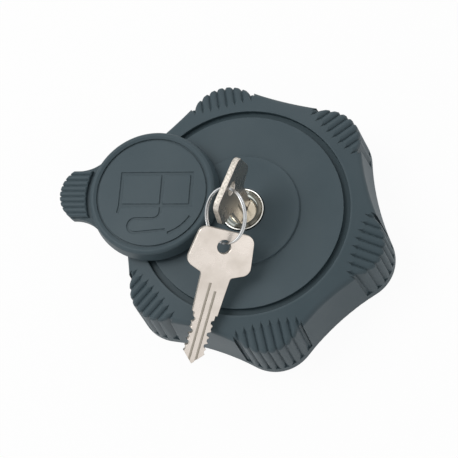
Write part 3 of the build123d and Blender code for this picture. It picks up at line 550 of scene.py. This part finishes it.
# painted shade on the floors of the milled lines; the punched edges are duller, and mottled
keyFinish = {
    "face": 0.00088, "step": 0.00012, "grimeStart": 0.0115, "grimeHalf": 0.0021,
    "grime": (0.40, 0.37, 0.32), "punchedDark": (0.36, 0.34, 0.30),
    "punchedLight": (0.60, 0.56, 0.51), "punchedRough": 0.55,
    "mottle": (1500.0, 4.0), "mottleSpread": (0.38, 0.62),
}


def keyDirections(look):
    blade = Vector(look["blade"]).normalized()
    side = Vector(look["side"])
    return blade, (side - blade * side.dot(blade)).normalized()


def edgeShare(ends, look, wear):
    # the bow is rubbed most, the cuts and the milled lines stay crisp
    blade, side = keyDirections(look)
    middle = (ends[0] + ends[1]) / 2 - Vector(look["hole"])
    along = middle.dot(blade)
    through = abs((ends[0] - ends[1]).normalized().dot(side.cross(blade)))
    if along > wear["lineStart"] and abs(middle.dot(side)) < wear["lineHalf"]:
        return wear["lineShare"]
    if along < wear["shoulder"]:
        return 1.0
    return wear["cutShare"] if through > wear["throughCut"] else wear["bladeShare"]


def makeKeyFinish(name, look, wear):
    material = makeMetal(name, metalSettings["keyNickel"])
    tree = material.node_tree
    shader = tree.nodes["Principled BSDF"]
    # the key's own directions: across its face, down its blade, out of its face
    blade, side = keyDirections(look)
    turn = Matrix((side, blade, side.cross(blade)))
    place = objectPlace(tree)
    along = addNode(tree, "ShaderNodeMapping", {
        "Vector": place,
        "Rotation": turn.to_euler(),
        "Location": -(turn @ Vector(look["hole"])),
    })
    values = {"Vector": along.outputs["Vector"]}
    parts = addNode(tree, "ShaderNodeSeparateXYZ", values).outputs
    across = calculate(tree, "ABSOLUTE", parts["X"])
    out = calculate(tree, "ABSOLUTE", parts["Z"])
    sunk = mapRange(tree, out, wear["face"], wear["face"] - wear["step"])
    spread = mapRange(tree, addNoise(tree, place, *wear["mottle"]), *wear["mottleSpread"])
    tone = mixColours(tree, spread, wear["punchedDark"], wear["punchedLight"])
    edged = mixColours(tree, sunk, sourceOf(shader.inputs["Base Color"]), tone)
    # painted shade on the floors of the milled lines, down the blade
    onBlade = calculate(tree, "GREATER_THAN", parts["Y"], wear["grimeStart"])
    inside = calculate(tree, "LESS_THAN", across, wear["grimeHalf"])
    area = calculate(tree, "MULTIPLY", onBlade, inside)
    grimy = calculate(tree, "MULTIPLY", area, sunk)
    values = {0: sunk, 2: sourceOf(shader.inputs["Roughness"]), 3: wear["punchedRough"]}
    dull = addNode(tree, "ShaderNodeMix", values, data_type="FLOAT").outputs[0]
    feed(tree, shader, {
        "Base Color": mixColours(tree, grimy, edged, wear["grime"]),
        "Roughness": dull,
    })
    return material


def softenKey(name, look, wear):
    piece = mergedCopy(name, look["node"], wear["merge"], wear["flat"])
    bpy.ops.object.mode_set(mode="EDIT")
    bpy.ops.mesh.select_mode(type="EDGE")
    bpy.ops.mesh.select_all(action="DESELECT")
    bpy.ops.mesh.edges_select_sharp(sharpness=math.radians(wear["sharp"]))
    bpy.ops.object.mode_set(mode="OBJECT")
    weights = piece.data.attributes.new("bevel_weight_edge", "FLOAT", "EDGE")
    for edge in piece.data.edges:
        ends = [piece.data.vertices[index].co for index in edge.vertices]
        weights.data[edge.index].value = edgeShare(ends, look, wear) if edge.select else 0.0
    edges = piece.modifiers.new("tumbledEdges", "BEVEL")
    edges.width = wear["round"]
    edges.segments = wear["steps"]
    edges.limit_method = "WEIGHT"
    edges.use_clamp_overlap = False
    applyAll(piece)
    smoothBelow(wear["smooth"])
    even = piece.modifiers.new("evenFaces", "WEIGHTED_NORMAL")
    even.keep_sharp = True
    applyAll(piece)
    dress(piece, makeKeyFinish(name + "Nickel", look, keyFinish))
    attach(piece, look["body"])
    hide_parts(look["node"])


for pieceName, look in softKeySettings.items():
    softenKey(pieceName, look, keyWear)
print("stage: keys finished")


# split ring: two close turns of wire with the step where one turn becomes the other
splitRingSettings = {
    "centre": (-0.0069284, -0.0044309, 0.0456975),
    "across": (0.737061, 0.471371, 0.484321),
    "normal": (-0.614544, 0.169269, 0.770510),
    "radius": 0.0094, "wire": 0.00038, "lay": 0.00038, "climb": 4, "turns": 2,
    "stepTurn": 0.16, "gapTurn": 0.012, "stepPlace": 0.55,
    "steps": 112, "around": 14, "smooth": 50,
}


def layTurns(ring, look):
    # the even climb of the coil is gathered into one short step
    count = look["around"]
    rings = len(ring.data.vertices) // count
    for index, vertex in enumerate(ring.data.vertices):
        turn = (index // count) / (rings - 1) * look["turns"]
        climb = turn * look["climb"] * look["lay"]
        start = 1 - look["stepTurn"] / 2
        share = min(max((turn - start) / look["stepTurn"], 0), 1)
        share = share * share * (3 - 2 * share)
        angle = (turn * (1 - look["gapTurn"]) + look["stepPlace"]) * 2 * math.pi
        reach = math.hypot(vertex.co.x, vertex.co.y)
        height = vertex.co.z - climb + look["lay"] * (2 * share - 1)
        vertex.co = (reach * math.cos(angle), reach * math.sin(angle), height)


def makeSplitRing(look):
    bpy.ops.object.select_all(action="DESELECT")
    bpy.ops.mesh.primitive_circle_add(
        vertices=look["around"], radius=look["wire"], location=(look["radius"], 0, 0),
        rotation=(math.pi / 2, 0, 0),
    )
    ring = bpy.context.object
    ring.name = "splitRing"
    bpy.ops.object.transform_apply(location=True, rotation=True, scale=True)
    coil = ring.modifiers.new("twoTurns", "SCREW")
    coil.axis = "Z"
    coil.angle = 2 * math.pi
    coil.iterations = look["turns"]
    coil.screw_offset = look["climb"] * look["lay"]
    coil.steps = look["steps"]
    coil.render_steps = look["steps"]
    coil.use_normal_calculate = True
    applyAll(ring)
    layTurns(ring, look)
    # the wire's two ends are closed
    bpy.ops.object.mode_set(mode="EDIT")
    bpy.ops.mesh.select_all(action="DESELECT")
    bpy.ops.mesh.select_mode(type="EDGE")
    bpy.ops.mesh.select_non_manifold(extend=False)
    bpy.ops.mesh.edge_face_add()
    bpy.ops.mesh.select_all(action="SELECT")
    bpy.ops.mesh.normals_make_consistent(inside=False)
    bpy.ops.object.mode_set(mode="OBJECT")
    normal = Vector(look["normal"])
    across = Vector(look["across"])
    turned = Matrix((across, normal.cross(across), normal)).transposed().to_4x4()
    ring.matrix_world = Matrix.Translation(look["centre"]) @ turned
    bpy.context.view_layer.update()
    chooseOnly(ring)
    bpy.ops.object.transform_apply(location=True, rotation=True, scale=True)
    smoothBelow(look["smooth"])
    dress(ring, finishes["zincSteel"])
    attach(ring, "ring")
    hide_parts("key_ring")


makeSplitRing(splitRingSettings)
print("stage: split ring finished")


# relief valve's coil, between the cap and the rising disc
valveCoilSettings = {
    "node": "valve_spring", "body": "base", "lift": 0.0012, "fixedEnd": 0.0117,
    "merge": 0.000002, "smooth": 50,
}


def makeValveCoil(look):
    coil = mergedCopy("valveCoil", look["node"], look["merge"])
    smoothBelow(look["smooth"])
    dress(coil, finishes["zincSteel"])
    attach(coil, look["body"])
    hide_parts(look["node"])
    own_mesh(coil)


makeValveCoil(valveCoilSettings)
print("stage: valve coil finished")


# floor, white in the picture, with the faint shadow under the cap
floorSettings = {"size": 3.0, "colour": (0.9, 0.9, 0.9), "glow": 1.0, "lift": 0.95}


def makeFloor(settings):
    bpy.ops.object.select_all(action="DESELECT")
    bpy.ops.mesh.primitive_plane_add(size=settings["size"])
    floor = bpy.context.object
    floor.name = "studioFloor"
    material = bpy.data.materials.new("floorPaper")
    material.use_nodes = True
    tree = material.node_tree
    tree.nodes.clear()
    paper = addNode(tree, "ShaderNodeBsdfDiffuse", {"Color": (*settings["colour"], 1)})
    glow = addNode(tree, "ShaderNodeEmission", {"Strength": settings["glow"]})
    path, seen = seenByEye(tree)
    mix = addNode(tree, "ShaderNodeMixShader", {
        "Fac": calculate(tree, "MULTIPLY", seen, settings["lift"]),
        1: paper.outputs[0],
        2: glow.outputs[0],
    })
    addNode(tree, "ShaderNodeOutputMaterial", {"Surface": mix.outputs[0]})
    dress(floor, material)


makeFloor(floorSettings)
bpy.context.scene.view_settings.view_transform = "Standard"

print("stage: finished")
